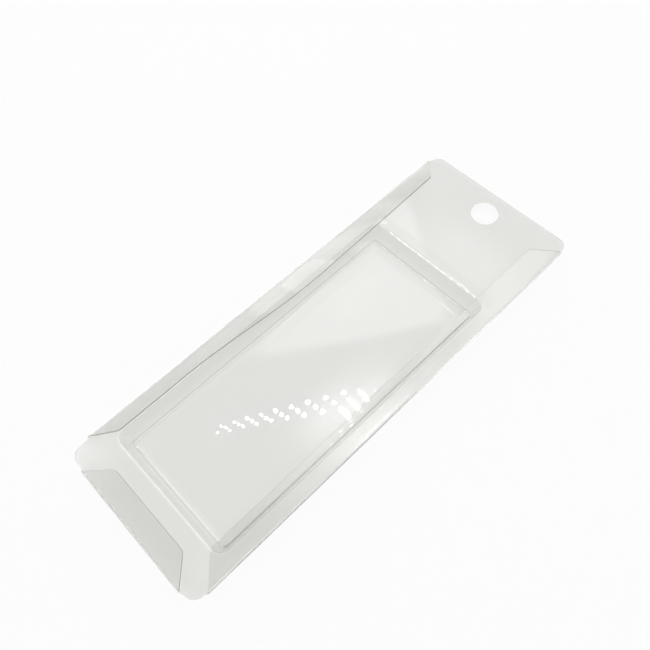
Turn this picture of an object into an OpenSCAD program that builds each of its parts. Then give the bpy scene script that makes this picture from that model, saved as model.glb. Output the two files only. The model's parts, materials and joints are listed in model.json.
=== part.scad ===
// Clear slide blister pack: one sheet of film, formed into a shallow tray-like bubble and folded
// over along three edges, so that a backing card slides in behind the bubble from the header end.
// It lies on the face of the bubble, with its open back upwards and the header towards +Y.
// All sizes are in millimetres.

/* [Film] */
// Thickness of the film
film_t = 0.35; // [0.25:0.05:0.5]
// Radius on the inside of each formed bend
form_r = 0.5; // [0.3:0.1:0.8]

/* [Panel] */
// Width of the flat panel, from one side fold to the other
panel_w = 47.8; // [45:0.1:80]
// Length of the flat panel, from the foot fold to the header's edge
panel_l = 133.7; // [120:0.1:180]
// Radius of the panel's four corners
corner_r = 2.8; // [1:0.1:5]

/* [Hang hole] */
// Diameter of the round hang hole
hole_d = 8; // [5:0.5:9]
// Distance from the header's edge to the middle of the hole
hole_edge = 7.3; // [5.5:0.1:12]
// Distance of the hole to the right of the bubble's middle line
hole_side = 0.4; // [-2:0.1:2]

/* [Bubble] */
// Width of the bubble at its rim
rim_w = 40.8; // [30:0.1:43]
// Length of the bubble at its rim
rim_l = 92.4; // [60:0.1:105]
// Distance from the foot fold to the bubble's rim
rim_foot = 10.3; // [9:0.1:16]
// Depth of the bubble, from the top of the panel to the top of the floor
depth = 5.8; // [3:0.1:18]
// Slope of the bubble's wall away from upright, in degrees
draft = 22; // [5:1:30]
// Radius of the floor's flat part at its corners
floor_r = 0.5; // [0.3:0.1:4]

/* [Card slot] */
// Clear height of the slot where a flap lies closed
slot_gap = 0.5; // [0.3:0.05:1]
// Width of a side flap, from the outside of its fold to its free edge
side_flap_w = 6.9; // [5:0.1:9]
// Width of the foot flap, from the outside of its fold to its free edge
foot_flap_w = 6.5; // [5:0.1:9]
// Slant of a flap's ends, in degrees from straight across
end_slant = 43; // [20:1:50]
// Radius of a flap's free corners
nose_r = 2; // [0.5:0.1:3]
// Straight edge left flat beside the two header corners
free_header = 0; // [0:0.1:6]
// Straight edge left flat beside the left foot corner
free_left = 2.1; // [0:0.1:6]
// Straight edge left flat beside the right foot corner
free_right = 0.4; // [0:0.1:6]

/* [Spring of the flaps] */
// How far the left flap stands open at its tightest place, in degrees
left_tight = 3.5; // [0:0.5:10]
// How far the left flap stands open at its foot end, in degrees
left_foot = 28.5; // [10:0.5:40]
// How far the left flap stands open at its header end, in degrees
left_header = 24.5; // [10:0.5:40]
// Where the left flap is tightest, as a distance from the foot fold
left_tight_at = 75.4; // [60:0.1:100]
// Length over which the left flap springs open towards the foot
left_reach = 42; // [20:1:50]
// How far the right flap stands open at its middle, in degrees
right_tight = 5; // [0:0.5:10]
// How far the right flap stands open at both ends, in degrees
right_ends = 10; // [0:0.5:40]
// How far the foot flap stands open, in degrees
foot_open = 12; // [0:0.5:40]

/* [Hidden] */
$fn = 64;
// Overlap that joins one stretch of the sheet to the next
lap = 0.2;
// Flat steps in each bend, across a flap and round its free corners
bend_steps = 6;
flap_steps = 3;
nose_steps = 3;
// Places along a flap where its opening is worked out
side_stations = 22;
foot_stations = 6;

slot_inner_r = slot_gap / 2;
slot_outer_r = slot_inner_r + film_t;
bend_l = PI * (slot_inner_r + slot_outer_r) / 2;
panel_top = depth + film_t;
// The foot fold stands proud of the panel, so the panel starts this far up the part
panel_foot = slot_outer_r;
overall_l = panel_foot + panel_l;
header_free = corner_r + free_header;

// The bubble's wall, seen in section at distance r from the middle line of a corner
wall_turn = 90 - draft;
upper_tangent = (form_r + film_t) * tan(wall_turn / 2);
lower_tangent = form_r * tan(wall_turn / 2);
rim_r = to_micron(floor_r + lower_tangent + depth * tan(draft));
upper_centre = [rim_r + upper_tangent, depth - form_r];
lower_centre = [floor_r, film_t + form_r];
corner_x = rim_w / 2 - rim_r;
corner_y = rim_l / 2 - rim_r;
rim_middle = panel_foot + rim_foot + rim_l / 2;

// Corner places are kept to a thousandth, so that both sides of a joint read the same number
function to_micron(v) = round(v * 1000) / 1000;

function arc(centre, r, from, to) =
    [for (i = [0 : bend_steps])
        let (a = from + (to - from) * i / bend_steps)
        centre + r * [cos(a), sin(a)]];

function ease(t) = t * t * (3 - 2 * t);

function share(v, length) = min(1, max(0, v / length));

// Opening of each flap at distance y from its foot or left end
function left_opening(y) =
    let (up = y + panel_start(free_left) - left_tight_at)
    left_tight + (up > 0
        ? (left_header - left_tight) * share(up, panel_l - header_free - left_tight_at)
        : (left_foot - left_tight) * ease(share(-up, left_reach)));

function right_opening(y) =
    let (from_middle = 2 * y / side_fold_l(free_right) - 1)
    right_tight + (right_ends - right_tight) * from_middle * from_middle;

function foot_opening(y) = foot_open;

function panel_start(free) = corner_r + free;

function side_fold_l(free) = panel_l - panel_start(free) - header_free;

// Rows across a flap, each as [share of the bend, distance past the bend, how far its ends are cut back]
function flap_rows(flat_w) =
    let (
        slope = tan(end_slant),
        blank_w = bend_l + flat_w,
        nose_turn = 90 - end_slant,
        nose_y = blank_w * slope + nose_r * tan(nose_turn / 2),
        flat_end = flat_w - nose_r * (1 - cos(nose_turn))
    )
    concat(
        [[0, -lap, 0]],
        [for (i = [0 : bend_steps]) [i / bend_steps, 0, bend_l * i / bend_steps * slope]],
        [for (i = [1 : flap_steps]) let (q = flat_end * i / (flap_steps + 1)) [1, q, (bend_l + q) * slope]],
        [for (i = [nose_steps : -1 : 0])
            let (a = nose_turn * i / nose_steps)
            [1, flat_w - nose_r * (1 - cos(a)), nose_y - nose_r * sin(a)]]
    );

// A point of a flap, at distance y along its fold and radius r from the fold's middle line
function flap_point(row, y, r, opening) =
    let (turn = row[0] * (180 - opening(y)))
    [
        r * sin(turn) + row[1] * cos(turn),
        y,
        panel_top + slot_inner_r - r * cos(turn) + row[1] * sin(turn)
    ];

// A flap folded over along +Y, with its fold bulging towards +X
module flap(fold_l, flap_w, stations, opening) {
    rows = flap_rows(flap_w - slot_outer_r);
    across = len(rows);
    along = stations + 1;
    points = [
        for (r = [slot_inner_r, slot_outer_r], row = rows, j = [0 : stations])
            flap_point(row, row[2] + (fold_l - 2 * row[2]) * j / stations, r, opening)
    ];
    function at(layer, i, j) = (layer * across + i) * along + j;
    function quad(a, b, c, d) = [[a, c, b], [a, d, c]];
    skins = [
        for (i = [0 : across - 2], j = [0 : stations - 1])
            each concat(
                quad(at(0, i, j), at(0, i + 1, j), at(0, i + 1, j + 1), at(0, i, j + 1)),
                quad(at(1, i, j + 1), at(1, i + 1, j + 1), at(1, i + 1, j), at(1, i, j))
            )
    ];
    ends = [
        for (i = [0 : across - 2])
            each concat(
                quad(at(1, i, 0), at(1, i + 1, 0), at(0, i + 1, 0), at(0, i, 0)),
                quad(at(0, i, stations), at(0, i + 1, stations), at(1, i + 1, stations), at(1, i, stations))
            )
    ];
    edges = [
        for (j = [0 : stations - 1])
            each concat(
                quad(at(0, 0, j), at(0, 0, j + 1), at(1, 0, j + 1), at(1, 0, j)),
                quad(
                    at(1, across - 1, j),
                    at(1, across - 1, j + 1),
                    at(0, across - 1, j + 1),
                    at(0, across - 1, j)
                )
            )
    ];
    polyhedron(points, concat(skins, ends, edges));
}

module rounded(w, l, r) {
    square([w - 2 * r, l], center = true);
    square([w, l - 2 * r], center = true);
    for (x = [-1, 1], y = [-1, 1])
        translate([x * (w / 2 - r), y * (l / 2 - r)])
            circle(r);
}

module panel() {
    opening_r = upper_centre[0] + lap / 2;
    translate([0, panel_foot, depth])
        difference() {
            linear_extrude(film_t)
                difference() {
                    translate([0, panel_l / 2])
                        rounded(panel_w, panel_l, corner_r);
                    translate([0, rim_foot + rim_l / 2])
                        rounded(2 * (corner_x + opening_r), 2 * (corner_y + opening_r), opening_r);
                }
            translate([hole_side, panel_l - hole_edge, -lap])
                cylinder(d = hole_d, h = film_t + 2 * lap);
        }
}

module wall_section() {
    polygon(concat(
        [[upper_centre[0] + lap, panel_top]],
        arc(upper_centre, form_r + film_t, 90, 90 + wall_turn),
        arc(lower_centre, form_r, -draft, -90),
        [[0, film_t], [0, 0]],
        arc(lower_centre, form_r + film_t, -90, -draft),
        arc(upper_centre, form_r, 90 + wall_turn, 90),
        [[upper_centre[0] + lap, depth]]
    ));
}

module wall_side(run) {
    rotate([90, 0, 0])
        linear_extrude(run, center = true)
            wall_section();
}

module bubble() {
    translate([0, rim_middle, 0]) {
        for (turn = [0, 180])
            rotate(turn) {
                translate([corner_x, 0, 0])
                    wall_side(2 * corner_y);
                translate([0, corner_y, 0])
                    rotate(90)
                        wall_side(2 * corner_x);
                translate([corner_x, corner_y, 0])
                    rotate_extrude(angle = 90)
                        wall_section();
                translate([-corner_x, corner_y, 0])
                    rotate(90)
                        rotate_extrude(angle = 90)
                            wall_section();
            }
        translate([0, 0, film_t / 2])
            cube([2 * corner_x + floor_r, 2 * corner_y + floor_r, film_t], center = true);
    }
}

module flaps() {
    mirror([1, 0, 0])
        translate([panel_w / 2, panel_foot + panel_start(free_left), 0])
            flap(side_fold_l(free_left), side_flap_w, side_stations, function (y) left_opening(y));
    translate([panel_w / 2, panel_foot + panel_start(free_right), 0])
        flap(side_fold_l(free_right), side_flap_w, side_stations, function (y) right_opening(y));
    translate([panel_start(free_left) - panel_w / 2, panel_foot, 0])
        rotate(-90)
            flap(
                panel_w - panel_start(free_left) - panel_start(free_right),
                foot_flap_w,
                foot_stations,
                function (y) foot_opening(y)
            );
}

module folded_blister() {
    color([0.89, 0.90, 0.88, 0.6])
        translate([0, -overall_l / 2, 0]) {
            panel();
            bubble();
            flaps();
        }
}

folded_blister();
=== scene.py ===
import json
import math

import bmesh
import bpy
from mathutils import Matrix, Vector, noise


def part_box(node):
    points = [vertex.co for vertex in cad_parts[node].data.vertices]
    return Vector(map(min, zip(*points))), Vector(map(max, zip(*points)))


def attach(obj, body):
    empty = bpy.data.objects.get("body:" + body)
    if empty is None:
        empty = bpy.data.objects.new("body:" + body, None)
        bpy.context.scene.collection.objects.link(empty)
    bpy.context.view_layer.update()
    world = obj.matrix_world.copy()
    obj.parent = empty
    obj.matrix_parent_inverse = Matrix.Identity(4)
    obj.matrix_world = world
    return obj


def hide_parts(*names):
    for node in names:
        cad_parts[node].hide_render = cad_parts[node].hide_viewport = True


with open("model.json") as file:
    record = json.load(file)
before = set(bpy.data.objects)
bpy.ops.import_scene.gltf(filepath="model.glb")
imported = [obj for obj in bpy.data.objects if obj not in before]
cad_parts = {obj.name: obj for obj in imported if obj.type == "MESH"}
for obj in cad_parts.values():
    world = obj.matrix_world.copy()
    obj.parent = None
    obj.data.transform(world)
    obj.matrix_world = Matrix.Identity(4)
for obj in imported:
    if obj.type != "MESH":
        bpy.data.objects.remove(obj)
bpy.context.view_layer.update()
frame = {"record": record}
mm = 0.001

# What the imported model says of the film: its box, where the hang hole is, and its thickness
low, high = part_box("folded_blister")
hangHole = next(m for m in frame["record"]["mounts"] if m["name"] == "hang_hole")
filmThickness = hangHole["dims"]["length_mm"] * mm

pack = {
    "depth": hangHole["pos_m"][2] - filmThickness / 2,   # from the panel's underside to the floor's
    "bendRadius": 0.5 * mm,      # inside of each formed bend
    "cornerRadius": 2.8 * mm,
    "rimWidth": 40.8 * mm,
    "rimLength": 92.4 * mm,
    "rimFoot": 10.3 * mm,        # from the foot fold to the rim
    "draft": math.radians(22),   # how far the bubble's walls lean from upright
    "floorRadius": 0.5 * mm,
    "shoulderSlope": math.radians(14),   # how far the panel has tipped where the rim's bend begins
    "shoulderWidth": 0.3 * mm,
    "shoulderRows": 6,
    "cornerSegments": 18,
    "bendSegments": 8,
    "holeSegments": 72,
    "acrossCell": 2.9 * mm,      # the sheet is cut into cells of this size, which carry its waviness
    "alongCell": 3.1 * mm,
    "waveHeight": 0.10 * mm,
    "waveLength": 26 * mm,
    "curlFrom": 13.8 * mm,       # the floor curls up a little from here to its long walls
    "curl": 3.3,                 # curvature of that curl, in radians a metre
    "curlHeight": 0.25,          # share of the pack's height over which the curl dies away
    "sharpAngle": math.radians(38),
    "weld": 1e-7,                # points that are closer than this become one
    # Painted shade: how much darker the film is painted down the rim's bend, on the wall and round the
    # floor's bend, for the dark lines and darker walls that refraction and shade give there
    "rimShades": [0, 0, 0, 0.05, 0.1, 0.2, 0.3, 0.4, 0.5],
    "wallShades": [(0.35, 0.52), (0.7, 0.42), (0.88, 0.32), (0.93, 0.8)],   # share of the way down, shade
    "floorShades": [0.8, 0.6, 0, 0, 0, 0, 0.3, 1, 0],
    # Forming thins the film: a little on the flats beside a bend, and the rest down the bend
    "taperWidth": 1.8 * mm,
    "taperRows": 4,
    "taperThin": 0.6,
    "rimThins": [0.65, 0.7, 0.78, 0.85, 0.92, 1, 1, 1, 1],
    "floorThins": [1, 1, 1, 1, 0.95, 0.8, 0.6, 0.3, 0],
    "thinnest": 0.35,            # of the film's own thickness
    "shellShare": 0.985,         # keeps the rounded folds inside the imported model's box
}

fold = {
    "slotGap": 0.5 * mm,         # clear height of the card slot under a closed flap
    "endSlant": math.radians(43),
    "noseRadius": 2.0 * mm,      # of a flap's free corners
    "bendSteps": 12,
    "flatSteps": 4,
    "noseSteps": 6,
    "reach": 1e-6,               # how near the fold line an edge lies that the flap grows from
}
fold["innerRadius"] = fold["slotGap"] / 2
fold["outerRadius"] = fold["innerRadius"] + filmThickness
fold["bendLength"] = math.pi * (fold["innerRadius"] + fold["outerRadius"]) / 2

panelWidth = high.x - low.x - 2 * fold["outerRadius"]
panelLength = high.y - low.y - fold["outerRadius"]
panelFoot = low.y + fold["outerRadius"]
panelHead = panelFoot + panelLength
panelTop = pack["depth"] + filmThickness
rimMiddle = panelFoot + pack["rimFoot"] + pack["rimLength"] / 2

# Where the folds start, from the panel's foot corners, and where the side folds end, from its head
leftStart = pack["cornerRadius"] + 2.1 * mm
rightStart = pack["cornerRadius"] + 0.4 * mm
sideEnd = pack["cornerRadius"]

# How far each flap springs open, in degrees
leftSpring = {"tight": 3.5, "foot": 28.5, "header": 24.5, "tightAt": 75.4 * mm, "reach": 42 * mm}
rightSpring = {"tight": 5, "ends": 10}
footSpring = {"open": 12}


def clamp(value):
    return min(1.0, max(0.0, value))


def ease(share):
    return share * share * (3 - 2 * share)


# Each gives a flap's opening in radians, at a distance along its fold
def leftOpening(y):
    up = y + leftStart - leftSpring["tightAt"]
    far = panelLength - sideEnd - leftSpring["tightAt"]
    if up > 0:
        extra = (leftSpring["header"] - leftSpring["tight"]) * clamp(up / far)
    else:
        extra = (leftSpring["foot"] - leftSpring["tight"]) * ease(clamp(-up / leftSpring["reach"]))
    return math.radians(leftSpring["tight"] + extra)


def rightOpening(y):
    fromMiddle = 2 * y / (panelLength - rightStart - sideEnd) - 1
    ends = rightSpring["ends"] - rightSpring["tight"]
    return math.radians(rightSpring["tight"] + ends * fromMiddle ** 2)


def footOpening(y):
    return math.radians(footSpring["open"])


flaps = {
    "left": {
        "width": 6.9 * mm,
        "length": panelLength - leftStart - sideEnd,
        "opening": leftOpening,
        "crease": 0.2,           # painted shade along its fold, as a share of the shade mask
        "start": (-panelWidth / 2, panelFoot + leftStart, 0),
        "facing": Matrix.Diagonal((-1, 1, 1, 1)),
    },
    "right": {
        "width": 6.9 * mm,
        "length": panelLength - rightStart - sideEnd,
        "opening": rightOpening,
        "crease": 0,
        "start": (panelWidth / 2, panelFoot + rightStart, 0),
        "facing": Matrix.Identity(4),
    },
    "foot": {
        "width": 6.5 * mm,
        "length": panelWidth - leftStart - rightStart,
        "opening": footOpening,
        "crease": 1.0,
        "start": (leftStart - panelWidth / 2, panelFoot, 0),
        "facing": Matrix.Rotation(-math.pi / 2, 4, "Z"),
    },
}


def roundedFace(bm, centre, width, length, radius):
    before = set(bm.faces)
    place = Matrix.Translation(centre) @ Matrix.Diagonal((width, length, 1, 1))
    made = bmesh.ops.create_grid(bm, x_segments=1, y_segments=1, size=0.5, matrix=place)
    bmesh.ops.bevel(
        bm, geom=made["verts"], offset=radius, offset_type="OFFSET", segments=pack["cornerSegments"],
        profile=0.5, affect="VERTICES", material=-1,
    )
    return next(f for f in bm.faces if f not in before)


def arcPoints(centre, radius, start, end, segments):
    points = []
    for i in range(segments + 1):
        angle = start + (end - start) * i / segments
        points.append((centre[0] + radius * math.cos(angle), centre[1] + radius * math.sin(angle)))
    return points


def wallSection():
    # From the panel down to the floor: distance from a corner's middle line, height, shade, thinning
    turn = math.pi / 2 - pack["draft"]
    outer = pack["bendRadius"] + filmThickness
    floorEdge = pack["floorRadius"]
    rimEdge = floorEdge + pack["bendRadius"] * math.tan(turn / 2) + pack["depth"] * math.tan(pack["draft"])
    # The panel draws down a little towards the rim, and the bend takes over at the shoulder's slope
    slope = pack["shoulderSlope"]
    drawn = pack["shoulderWidth"] * math.tan(slope) / 2
    settled = drawn - outer * (1 - math.cos(slope))
    top = (
        rimEdge + outer * math.tan(turn / 2) - settled * math.tan(pack["draft"]),
        pack["depth"] - pack["bendRadius"] - settled,
    )
    bottom = (floorEdge, filmThickness + pack["bendRadius"])
    upper = arcPoints(top, outer, math.pi / 2 + slope, math.pi / 2 + turn, pack["bendSegments"])
    lower = arcPoints(bottom, pack["bendRadius"], -pack["draft"], -math.pi / 2, pack["bendSegments"])
    rimStart = upper[0][0]
    tapered = pack["taperThin"]
    rows = []
    for i in range(pack["taperRows"]):
        t = i / pack["taperRows"]
        away = rimStart + pack["shoulderWidth"] + pack["taperWidth"] * (1 - t)
        rows.append((away, panelTop, 0, tapered * t))
    for i in range(pack["shoulderRows"]):
        t = i / pack["shoulderRows"]
        rows.append((rimStart + pack["shoulderWidth"] * (1 - t), panelTop - drawn * t * t, 0, tapered))
    for point, shade, thin in zip(upper, pack["rimShades"], pack["rimThins"]):
        rows.append((*point, shade, thin))
    for t, shade in pack["wallShades"]:
        away, height = (above * (1 - t) + below * t for above, below in zip(upper[-1], lower[0]))
        rows.append((away, height, shade, 1))
    for point, shade, thin in zip(lower, pack["floorShades"], pack["floorThins"]):
        rows.append((*point, shade, thin))
    return rimEdge, rows


def formBubble(bm):
    rimEdge, section = wallSection()
    radius = section[0][0]
    width = pack["rimWidth"] + 2 * (radius - rimEdge)
    length = pack["rimLength"] + 2 * (radius - rimEdge)
    face = roundedFace(bm, (0, rimMiddle, panelTop), width, length, radius)
    if face.normal.z < 0:
        bmesh.ops.reverse_faces(bm, faces=[face])
    drawn = bm.verts.layers.float["drawn"]
    thinned = bm.verts.layers.float["thinned"]
    for above, below in zip(section, section[1:]):
        bmesh.ops.inset_region(
            bm, faces=[face], thickness=above[0] - below[0], depth=below[1] - above[1],
            use_boundary=True, use_even_offset=True,
        )
        for v in face.verts:
            # the section's painted shade goes into the shade mask
            v[drawn] = below[2]
            v[thinned] = below[3]
    return [e for e in bm.edges if e.is_boundary]


def fillPanel(bm, rim):
    middle = (0, panelFoot + panelLength / 2, panelTop)
    outline = roundedFace(bm, middle, panelWidth, panelLength, pack["cornerRadius"])
    bmesh.ops.delete(bm, geom=[outline], context="FACES_ONLY")
    x, y, _ = hangHole["pos_m"]
    bmesh.ops.create_circle(
        bm, cap_ends=False, segments=pack["holeSegments"], radius=hangHole["dims"]["r_mm"] * mm,
        matrix=Matrix.Translation((x, y, panelTop)),
    )
    loose = [e for e in bm.edges if e.is_wire]
    bmesh.ops.triangle_fill(
        bm, use_beauty=True, use_dissolve=True, edges=loose + rim, normal=(0, 0, 1),
    )


def cutSheet(bm, place, axis):
    bmesh.ops.bisect_plane(
        bm, geom=bm.verts[:] + bm.edges[:] + bm.faces[:], dist=pack["weld"], plane_co=axis * place,
        plane_no=axis, clear_inner=False, clear_outer=False,
    )


def cutEvenly(bm, first, last, cell, axis):
    steps = round((last - first) / cell)
    for i in range(steps + 1):
        cutSheet(bm, first + (last - first) * i / steps, axis)


def cutCells(bm):
    # The cuts are spaced evenly between the folds' ends, so that every fold starts and ends on a cut
    along = Vector((0, 1, 0))
    across = Vector((1, 0, 0))
    cutSheet(bm, panelFoot + rightStart, along)
    cutEvenly(bm, panelFoot + leftStart, panelHead - sideEnd, pack["alongCell"], along)
    cutEvenly(bm, leftStart - panelWidth / 2, panelWidth / 2 - rightStart, pack["acrossCell"], across)


def flapRows(flatWidth):
    # Across a flap: share of the bend, distance past the bend, and how far the ends are cut back
    slope = math.tan(fold["endSlant"])
    nose = fold["noseRadius"]
    noseTurn = math.pi / 2 - fold["endSlant"]
    noseBack = (fold["bendLength"] + flatWidth) * slope + nose * math.tan(noseTurn / 2)
    flatEnd = flatWidth - nose * (1 - math.cos(noseTurn))
    rows = []
    for i in range(1, fold["bendSteps"] + 1):
        share = i / fold["bendSteps"]
        rows.append((share, 0, fold["bendLength"] * share * slope))
    for i in range(1, fold["flatSteps"] + 1):
        past = flatEnd * i / (fold["flatSteps"] + 1)
        rows.append((1, past, (fold["bendLength"] + past) * slope))
    for i in range(fold["noseSteps"], -1, -1):
        turn = noseTurn * i / fold["noseSteps"]
        rows.append((1, flatWidth - nose * (1 - math.cos(turn)), noseBack - nose * math.sin(turn)))
    return rows


def foldFlap(bm, flap):
    place = Matrix.Translation(flap["start"]) @ flap["facing"]
    toFlap = place.inverted()

    def along(vertex):
        return (toFlap @ vertex.co).y

    def onFold(vertex):
        local = toFlap @ vertex.co
        return abs(local.x) < fold["reach"] and -fold["reach"] < local.y < flap["length"] + fold["reach"]

    edges = [e for e in bm.edges if e.is_boundary and all(onFold(v) for v in e.verts)]
    verts = sorted({v for e in edges for v in e.verts}, key=along)
    shares = [along(v) / flap["length"] for v in verts]
    folded = bm.verts.layers.float["folded"]
    drawn = bm.verts.layers.float["drawn"]
    inner = fold["innerRadius"]
    for bent, past, cutBack in flapRows(flap["width"] - fold["outerRadius"]):
        made = bmesh.ops.extrude_edge_only(bm, edges=edges)["geom"]
        edges = [g for g in made if isinstance(g, bmesh.types.BMEdge)]
        verts = sorted((g for g in made if isinstance(g, bmesh.types.BMVert)), key=along)
        for vertex, share in zip(verts, shares):
            y = cutBack + (flap["length"] - 2 * cutBack) * share
            turn = bent * (math.pi - flap["opening"](y))
            x = inner * math.sin(turn) + past * math.cos(turn)
            z = panelTop + inner - inner * math.cos(turn) + past * math.sin(turn)
            vertex.co = place @ Vector((x, y, z))
            vertex[folded] = bent
            # the middle of the fold's bend is painted darker as shade
            vertex[drawn] = flap["crease"] * math.sin(math.pi * bent)


def waveSheet(bm):
    # Formed film is never quite flat: a slow wave, downwards in the panel and upwards in the floor
    for v in bm.verts:
        wave = 0.5 + 0.5 * noise.noise(v.co / pack["waveLength"])
        up = clamp(v.co.z / panelTop)
        past = max(0, abs(v.co.x) - pack["curlFrom"])
        v.co.z += pack["waveHeight"] * clamp(wave) * (1 - 2 * up)
        v.co.z += pack["curl"] * past * past / 2 * clamp(1 - up / pack["curlHeight"])


def newMesh(name, bm):
    mesh = bpy.data.meshes.new(name)
    bm.to_mesh(mesh)
    bm.free()
    return mesh


def filmMesh():
    bm = bmesh.new()
    bm.verts.layers.float.new("folded")      # 0 on the panel and the bubble, 1 on the flaps
    bm.verts.layers.float.new("drawn")       # painted-shade mask: 0 on the flats, up to 1 down the bends, the walls and the fold creases, where the film is painted darker as shade
    bm.verts.layers.float.new("thinned")     # 1 where the film is at its thinnest
    rim = formBubble(bm)
    fillPanel(bm, rim)
    bmesh.ops.recalc_face_normals(bm, faces=bm.faces[:])
    cutCells(bm)
    for flap in flaps.values():
        foldFlap(bm, flap)
    bmesh.ops.remove_doubles(bm, verts=bm.verts[:], dist=pack["weld"])
    bmesh.ops.recalc_face_normals(bm, faces=bm.faces[:])
    floorFace = min(bm.faces, key=lambda f: f.calc_center_median().z)
    if floorFace.normal.z < 0:
        bmesh.ops.reverse_faces(bm, faces=bm.faces[:])
    waveSheet(bm)
    for f in bm.faces:
        f.smooth = True
    return newMesh("blister_film", bm)


def thicken(piece):
    # The sheet above is the film's upper skin, and its thickness goes below it
    shell = piece.modifiers.new("Film thickness", "SOLIDIFY")
    shell.thickness = filmThickness * pack["shellShare"]
    shell.offset = -1
    full = piece.vertex_groups.new(name="full thickness")
    for i, thin in enumerate(piece.data.attributes["thinned"].data):
        full.add([i], 1 - thin.value, "REPLACE")
    shell.vertex_group = full.name
    shell.thickness_vertex_group = pack["thinnest"]
    shell.use_even_offset = True
    shell.material_offset_rim = 1            # the cut edges take the piece's second material
    shelled = piece.evaluated_get(bpy.context.evaluated_depsgraph_get())
    whole = bpy.data.meshes.new_from_object(shelled)
    piece.modifiers.clear()
    piece.vertex_groups.clear()
    piece.data = whole
    whole.attributes.remove(whole.attributes["thinned"])
    whole.name = "blister_film"
    whole.set_sharp_from_angle(angle=pack["sharpAngle"])


def addNode(tree, kind, inputs=None, **settings):
    # An input is given by its name or number, as a value or as the socket that feeds it
    node = tree.nodes.new(kind)
    for name, value in settings.items():
        setattr(node, name, value)
    for name, value in (inputs or {}).items():
        if isinstance(value, bpy.types.NodeSocket):
            tree.links.new(value, node.inputs[name])
        else:
            node.inputs[name].default_value = value
    return node


def newMaterial(name):
    material = bpy.data.materials.new(name)
    material.use_nodes = True
    material.node_tree.nodes.clear()
    return material, material.node_tree


film = {
    "colour": (0.863, 0.872, 0.843, 1),        # the clear sheet's faint green grey, darkened past the film's own tint as painted shade for the shaded table seen through the pack
    # the flaps, which always lie over the sheet, take a lighter copy of the same film, so that two layers
    # darken less
    "flapColour": (0.95, 0.952, 0.94, 1),
    "drawnColour": (0.66, 0.675, 0.64, 1),     # painted shade, where the shade mask is full
    "ior": 1.57,
    "roughness": 0.02,
    "edgeColour": (0.90, 0.91, 0.89, 1),       # cut edge of the sheet, and of a flap, whose edge is painted dark grey as shade for the dark line seen along it
    "flapEdgeColour": (0.34, 0.35, 0.33, 1),
    "edgeRoughness": 0.6,
    "skin": (0.99, 0.991, 0.987, 1),           # share of a lamp's light that one skin lets through
    "flapSkin": (1, 1, 1, 1),
    "drawnSkin": (0.96, 0.963, 0.95, 1),
    "grazing": (0.5, 0.5, 0.49, 1),            # what passes where a lamp's light only grazes the film
    "headOn": 0.04,                            # how far a skin is towards grazing when struck head on
    "steepness": 5,                            # power with which it gets there as the light slants
    "trappedAfter": 2.5,                       # gloss bounces after which trapped light is let out
}


def sheetTintGroup():
    # Three tints of the sheet, mixed by how far it belongs to a flap and by the painted-shade mask kept in
    # the drawn attribute
    group = bpy.data.node_groups.new("sheet tint", "ShaderNodeTree")
    for name in ("Sheet Colour", "Flap Colour", "Drawn Colour"):
        group.interface.new_socket(name, in_out="INPUT", socket_type="NodeSocketColor")
    group.interface.new_socket("Colour", in_out="OUTPUT", socket_type="NodeSocketColor")
    start = addNode(group, "NodeGroupInput").outputs
    colour = start["Sheet Colour"]
    for layer, tint in (("folded", "Flap Colour"), ("drawn", "Drawn Colour")):
        share = addNode(group, "ShaderNodeAttribute", attribute_name=layer)
        inputs = {0: share.outputs["Fac"], 6: colour, 7: start[tint]}
        colour = addNode(group, "ShaderNodeMix", inputs, data_type="RGBA").outputs[2]
    addNode(group, "NodeGroupOutput", {"Colour": colour})
    return group


def sheetTint(tree, sheetColour, flapColour, drawnColour):
    group = bpy.data.node_groups.get("sheet tint") or sheetTintGroup()
    inputs = {"Sheet Colour": sheetColour, "Flap Colour": flapColour, "Drawn Colour": drawnColour}
    return addNode(tree, "ShaderNodeGroup", inputs, node_tree=group).outputs["Colour"]


def lampsPass(tree, glass):
    # Light on its way to the floor crosses the film straight, less what each skin turns back:
    # a little head on, and more the steeper it strikes. Light trapped inside the film leaves so too.
    slant = addNode(tree, "ShaderNodeLayerWeight", {"Blend": 0.5})       # Facing is one less the cosine
    steep = addNode(
        tree, "ShaderNodeMath", {0: slant.outputs["Facing"], 1: film["steepness"]}, operation="POWER",
    )
    turned = addNode(tree, "ShaderNodeMapRange", {"Value": steep.outputs[0], "To Min": film["headOn"]})
    straight = sheetTint(tree, film["skin"], film["flapSkin"], film["drawnSkin"])
    inputs = {0: turned.outputs["Result"], 6: straight, 7: film["grazing"]}
    kept = addNode(tree, "ShaderNodeMix", inputs, data_type="RGBA")
    passing = addNode(tree, "ShaderNodeBsdfTransparent", {"Color": kept.outputs[2]})
    path = addNode(tree, "ShaderNodeLightPath").outputs
    inputs = {0: path["Glossy Depth"], 1: film["trappedAfter"]}
    trapped = addNode(tree, "ShaderNodeMath", inputs, operation="GREATER_THAN")
    shader = glass.outputs["BSDF"]
    for share in (path["Is Shadow Ray"], path["Is Diffuse Ray"], trapped.outputs[0]):
        mix = addNode(tree, "ShaderNodeMixShader", {"Fac": share, 1: shader, 2: passing.outputs["BSDF"]})
        shader = mix.outputs["Shader"]
    addNode(tree, "ShaderNodeOutputMaterial", {"Surface": shader})


def filmMaterial():
    material, tree = newMaterial("clear film")
    glass = addNode(tree, "ShaderNodeBsdfPrincipled", {
        # the sheet's colour, painted darker as shade where the shade mask is
        "Base Color": sheetTint(tree, film["colour"], film["flapColour"], film["drawnColour"]),
        "Metallic": 0,
        "Roughness": film["roughness"],
        "IOR": film["ior"],
        "Transmission Weight": 1,
    })
    lampsPass(tree, glass)
    return material


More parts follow.
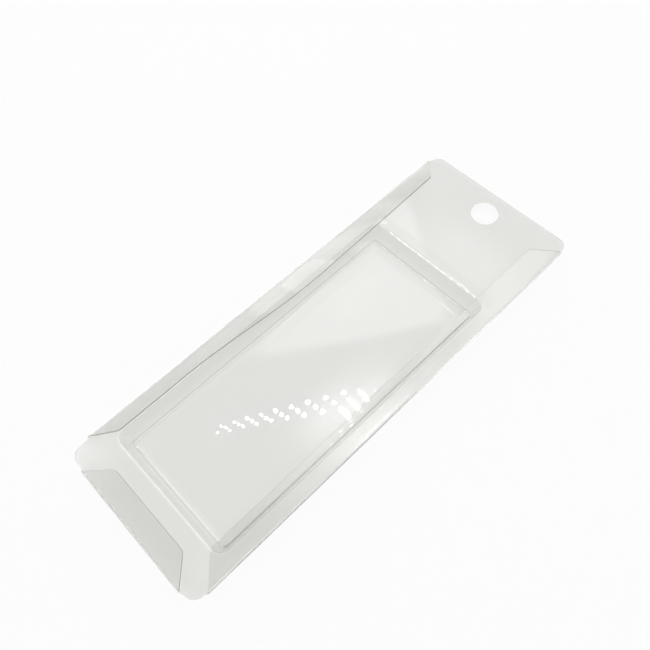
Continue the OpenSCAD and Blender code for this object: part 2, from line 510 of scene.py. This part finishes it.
def edgeMaterial():
    # A cut through the film is matt; a flap's cut edge is painted dark grey as shade
    material, tree = newMaterial("cut edge of the film")
    matt = addNode(tree, "ShaderNodeBsdfPrincipled", {
        "Base Color": sheetTint(tree, film["edgeColour"], film["flapEdgeColour"], film["edgeColour"]),
        "Metallic": 0,
        "Roughness": film["edgeRoughness"],
    })
    addNode(tree, "ShaderNodeOutputMaterial", {"Surface": matt.outputs["BSDF"]})
    return material


def addObject(name, data):
    made = bpy.data.objects.new(name, data)
    bpy.context.collection.objects.link(made)
    return made


def pointAt(location, target):
    where = Vector(location)
    look = (Vector(target) - where).to_track_quat("-Z", "Y").to_matrix().to_4x4()
    return Matrix.Translation(where) @ look


# The camera comes first, from the photograph's own viewpoint
view = {
    "location": (62.49 * mm, -54.79 * mm, 161.29 * mm),
    "target": (-8.33 * mm, 3.95 * mm, 0.35 * mm),
    "roll": math.radians(-5.04),
    "lens": 37.495,
    "sensor": 36,
    "nearest": 0.01,
    "furthest": 20,
}


def addCamera():
    data = bpy.data.cameras.new("camera")
    data.lens = view["lens"]
    data.sensor_width = view["sensor"]
    data.clip_start = view["nearest"]
    data.clip_end = view["furthest"]
    camera = addObject("camera", data)
    camera.matrix_world = pointAt(view["location"], view["target"]) @ Matrix.Rotation(view["roll"], 4, "Z")
    bpy.context.scene.camera = camera


addCamera()
print("camera placed")

piece = addObject("blister_film", filmMesh())
piece.data.materials.append(filmMaterial())
piece.data.materials.append(edgeMaterial())
thicken(piece)
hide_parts("folded_blister")
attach(piece, "root")
print("film made", len(piece.data.polygons), "faces")

studio = {
    "floorSize": 6.0,
    "floorColour": (0.95, 0.945, 0.948, 1),
    "white": (0.99, 0.985, 0.988, 1),
    "whiteShare": 0.5,        # how far the camera sees the floor as plain white; the rest keeps the shadow
    "origin": (0, 0, 0),      # what the lights point at
}


def addFloor():
    bm = bmesh.new()
    bmesh.ops.create_grid(bm, x_segments=1, y_segments=1, size=studio["floorSize"] / 2)
    floor = addObject("floor", newMesh("floor", bm))
    material, tree = newMaterial("studio floor")
    matt = addNode(tree, "ShaderNodeBsdfDiffuse", {"Color": studio["floorColour"]})
    white = addNode(tree, "ShaderNodeEmission", {"Color": studio["white"], "Strength": 1})
    path = addNode(tree, "ShaderNodeLightPath").outputs
    seen = path["Is Camera Ray"]
    for ray in ("Is Glossy Ray", "Is Transmission Ray"):
        seen = addNode(tree, "ShaderNodeMath", {0: seen, 1: path[ray]}, operation="MAXIMUM").outputs[0]
    part = addNode(tree, "ShaderNodeMath", {0: seen, 1: studio["whiteShare"]}, operation="MULTIPLY")
    inputs = {"Fac": part.outputs[0], 1: matt.outputs["BSDF"], 2: white.outputs["Emission"]}
    mix = addNode(tree, "ShaderNodeMixShader", inputs)
    addNode(tree, "ShaderNodeOutputMaterial", {"Surface": mix.outputs["Shader"]})
    floor.data.materials.append(material)


sky = {
    "colour": (1, 0.995, 0.998, 1),
    "horizon": 0.5,
    "zenith": 0.10,
    "fadeFrom": 0.2,          # between these heights the horizon's light passes into the zenith's
    "fadeTo": 0.72,
    "lowest": 0.02,           # the panels' plane isn't followed further down than this height
}

# Soft panels high over the table. Middle and size are how far out they lie for each metre up,
# turn is in degrees, and fade is the share of the size over which an edge dies away.
panels = {
    "window": {"middle": (-0.611, 0.438), "size": (0.495, 0.46), "turn": 57, "fade": 0.05, "light": 0.95},
    "room": {"middle": (-0.70, 0.80), "size": (1.5, 1.5), "fade": 0.45, "light": 0.25},
    "left": {"middle": (-1.15, 0.50), "size": (1.0, 0.60), "fade": 0.3, "light": 0.7},
    "header": {"middle": (-0.02, 0.64), "size": (0.60, 0.40), "fade": 0.35, "light": 1.5},
    "overhead": {"middle": (0.01, 0.30), "size": (0.34, 0.50), "fade": 0.3, "light": 1.1},
    "bright": {"middle": (0.01, 0.28), "size": (0.32, 0.22), "fade": 0.45, "light": 1.4},
    "glow": {"middle": (-0.30, 0.29), "size": (0.18, 0.30), "fade": 0.5, "light": 1.15},
    "glowCore": {"middle": (-0.315, 0.255), "size": (0.12, 0.16), "fade": 0.5, "light": 0.8},
    "foot": {"middle": (-0.70, -0.45), "size": (0.40, 0.60), "fade": 0.45, "light": 0.9},
    "headerMiddle": {"middle": (-0.35, 0.62), "size": (0.30, 0.22), "fade": 0.4, "light": 0.55},
    "farLeft": {"middle": (-4.4, 2.6), "size": (5, 3), "fade": 0.4, "light": 0.5},
    "corner": {"middle": (-0.545, -0.07), "size": (0.17, 0.17), "fade": 0.5, "light": 1.0},
    "glowEdge": {"middle": (-0.295, 0.325), "size": (0.06, 0.16), "fade": 0.5, "light": 0.8},
}
panelEdge = 0.5               # an edge's distance from the middle, as a share of the size


def softPanelGroup():
    # Light of one soft-edged panel in the direction looked at, added to the light before it
    group = bpy.data.node_groups.new("soft panel", "ShaderNodeTree")
    for name in ("Direction", "Middle", "Turn", "Size"):
        group.interface.new_socket(name, in_out="INPUT", socket_type="NodeSocketVector")
    for name in ("Inner", "Light", "Before"):
        group.interface.new_socket(name, in_out="INPUT", socket_type="NodeSocketFloat")
    group.interface.new_socket("Light", in_out="OUTPUT", socket_type="NodeSocketFloat")
    start = addNode(group, "NodeGroupInput").outputs
    place = addNode(group, "ShaderNodeMapping", {
        "Vector": start["Direction"],
        "Location": start["Middle"],
        "Rotation": start["Turn"],
        "Scale": start["Size"],
    }, vector_type="TEXTURE")
    split = addNode(group, "ShaderNodeSeparateXYZ", {"Vector": place.outputs["Vector"]})
    light = start["Light"]
    for axis in "XY":
        away = addNode(group, "ShaderNodeMath", {0: split.outputs[axis]}, operation="ABSOLUTE")
        inputs = {"Value": away.outputs[0], "From Min": panelEdge, "From Max": start["Inner"]}
        fade = addNode(group, "ShaderNodeMapRange", inputs, interpolation_type="SMOOTHSTEP")
        both = addNode(group, "ShaderNodeMath", {0: fade.outputs["Result"], 1: light}, operation="MULTIPLY")
        light = both.outputs[0]
    total = addNode(group, "ShaderNodeMath", {0: light, 1: start["Before"]}, operation="ADD")
    addNode(group, "NodeGroupOutput", {"Light": total.outputs[0]})
    return group


def addWorld():
    world = bpy.data.worlds.new("studio")
    bpy.context.scene.world = world
    world.use_nodes = True
    tree = world.node_tree
    tree.nodes.clear()
    direction = addNode(tree, "ShaderNodeTexCoord").outputs["Generated"]
    height = addNode(tree, "ShaderNodeSeparateXYZ", {"Vector": direction}).outputs["Z"]
    fade = addNode(tree, "ShaderNodeMapRange", {
        "Value": height,
        "From Min": sky["fadeFrom"],
        "From Max": sky["fadeTo"],
        "To Min": sky["horizon"],
        "To Max": sky["zenith"],
    }, interpolation_type="SMOOTHSTEP")
    # Each direction is followed to a level plane one metre up, where the panels have their places
    above = addNode(tree, "ShaderNodeMath", {0: height, 1: sky["lowest"]}, operation="MAXIMUM")
    slope = addNode(tree, "ShaderNodeMath", {0: 1, 1: above.outputs[0]}, operation="DIVIDE")
    inputs = {"Vector": direction, "Scale": slope.outputs[0]}
    flat = addNode(tree, "ShaderNodeVectorMath", inputs, operation="SCALE")
    softPanel = softPanelGroup()
    total = fade.outputs["Result"]
    for name, panel in panels.items():
        soft = addNode(tree, "ShaderNodeGroup", {
            "Direction": flat.outputs["Vector"],
            "Middle": (*panel["middle"], 0),
            "Turn": (0, 0, math.radians(panel.get("turn", 0))),
            "Size": (*panel["size"], 1),
            "Inner": panelEdge - panel["fade"],
            "Light": panel["light"],
            "Before": total,
        }, node_tree=softPanel, label=name)
        total = soft.outputs["Light"]
    light = addNode(tree, "ShaderNodeBackground", {"Color": sky["colour"], "Strength": total})
    # The camera itself sees a white backdrop past the floor
    backdrop = addNode(tree, "ShaderNodeBackground", {"Color": studio["white"], "Strength": 1})
    seen = addNode(tree, "ShaderNodeLightPath").outputs["Is Camera Ray"]
    inputs = {"Fac": seen, 1: light.outputs["Background"], 2: backdrop.outputs["Background"]}
    mix = addNode(tree, "ShaderNodeMixShader", inputs)
    addNode(tree, "ShaderNodeOutputWorld", {"Surface": mix.outputs["Shader"]})


sun = {
    "strength": 2.44,
    "angle": math.radians(18),    # how wide its soft disc looks
    "from": (0.38, -0.36, 1),
}


def addLight(name, kind, place):
    light = addObject(name, bpy.data.lights.new(name, kind))
    light.matrix_world = place
    return light


def addSun():
    key = addLight("key", "SUN", pointAt(sun["from"], studio["origin"]))
    key.data.energy = sun["strength"]
    key.data.angle = sun["angle"]


def addArea(name, shape, size, radiance, place):
    light = addLight(name, "AREA", place)
    light.data.shape = shape
    light.data.size, light.data.size_y = size
    area = size[0] * size[1] * (math.pi / 4 if shape == "ELLIPSE" else 1)
    light.data.energy = radiance * math.pi * area
    return light


# Cards that only the film's gloss shows, as thin bright lines along its bends
cards = {
    "back": {"at": (-0.34, 0.83, 0.42), "size": (0.50, 0.42), "radiance": 3.4},
    "right": {"at": (0.78, 0.28, 0.46), "size": (0.80, 0.26), "radiance": 3},
}
# A row of strips does the same for the dashes along the far rim
strips = {
    "count": 14,
    "first": (-0.447, -0.80, 0.44),
    "size": (0.0085, 0.20),
    "pitch": 0.0170,
    "radiance": 34,
}


def addCards():
    lights = []
    for name, card in cards.items():
        place = pointAt(card["at"], studio["origin"])
        lights.append(addArea(name, "RECTANGLE", card["size"], card["radiance"], place))
    # The strips turn about X alone, so that a bend along X mirrors each of them as a separate dash
    x, y, z = strips["first"]
    for i in range(strips["count"]):
        place = Matrix.Translation((x + strips["pitch"] * i, 0, 0)) @ pointAt((0, y, z), studio["origin"])
        lights.append(addArea("strip", "RECTANGLE", strips["size"], strips["radiance"], place))
    for light in lights:
        light.visible_camera = False
        light.visible_diffuse = False


# Black flags close to the foot and the right side keep the cards out of the folds there
flags = {
    "colour": (0.05, 0.05, 0.05, 1),
    "boards": {
        "foot flag": {"at": (-0.005, -0.078, 0.010), "size": (0.11, 0.001, 0.020)},
        "right flag": {"at": (0.036, 0, 0.011), "size": (0.001, 0.17, 0.022)},
    },
}


def addFlags():
    material, tree = newMaterial("flag")
    matt = addNode(tree, "ShaderNodeBsdfDiffuse", {"Color": flags["colour"]})
    addNode(tree, "ShaderNodeOutputMaterial", {"Surface": matt.outputs["BSDF"]})
    for name, board in flags["boards"].items():
        bm = bmesh.new()
        place = Matrix.Translation(board["at"]) @ Matrix.Diagonal((*board["size"], 1))
        bmesh.ops.create_cube(bm, size=1, matrix=place)
        flag = addObject(name, newMesh(name, bm))
        flag.data.materials.append(material)
        flag.visible_camera = False
        flag.visible_diffuse = False
        flag.visible_transmission = False
        flag.visible_shadow = False


# Three staggered rows of small lamps, seen mirrored in the bubble's floor
lamps = {
    "height": 0.5,
    "radiance": 80,
    "radius": 1.0,                # millimetres from here on
    "radiusGrowth": 0.16,
    "first": (-216.2, 26.6),
    "step": (5.3, 11.5),
    "growth": (0.28, 0.35),       # added to the step with the square of the count
    "rowStep": (4.65, 1.5),
    "rowGrowth": (0.30, 0.08),    # what the count and its square add to the distance between rows
    "counts": [9, 8, 7],
    "lone": (-213.3, 18.7),
    # Place and the two radii of each lamp past the rows' ends
    "tail": [
        (-136, 126, 11, 2),
        (-135, 139.5, 14, 2),
        (-134, 154.5, 13, 2),
        (-131, 168, 5, 2),
        (-130, 184, 3, 2),
    ],
}


def addLamp(x, y, across, along):
    place = Matrix.Translation((x * mm, y * mm, lamps["height"]))
    addArea("lamp", "ELLIPSE", (2 * across * mm, 2 * along * mm), lamps["radiance"], place)


def addLamps():
    for row, count in enumerate(lamps["counts"]):
        for i in range(count):
            between = lamps["rowStep"][0] + lamps["rowGrowth"][0] * i + lamps["rowGrowth"][1] * i * i
            x = lamps["first"][0] + lamps["step"][0] * i + lamps["growth"][0] * i * i + between * row
            y = lamps["first"][1] + lamps["step"][1] * i + lamps["growth"][1] * i * i
            radius = lamps["radius"] + lamps["radiusGrowth"] * i
            addLamp(x, y + lamps["rowStep"][1] * row, radius, radius)
    addLamp(*lamps["lone"], lamps["radius"], lamps["radius"])
    for lamp in lamps["tail"]:
        addLamp(*lamp)


addFloor()
addWorld()
addSun()
addCards()
addFlags()
addLamps()
print("studio lit")

bpy.context.scene.view_settings.view_transform = "Standard"
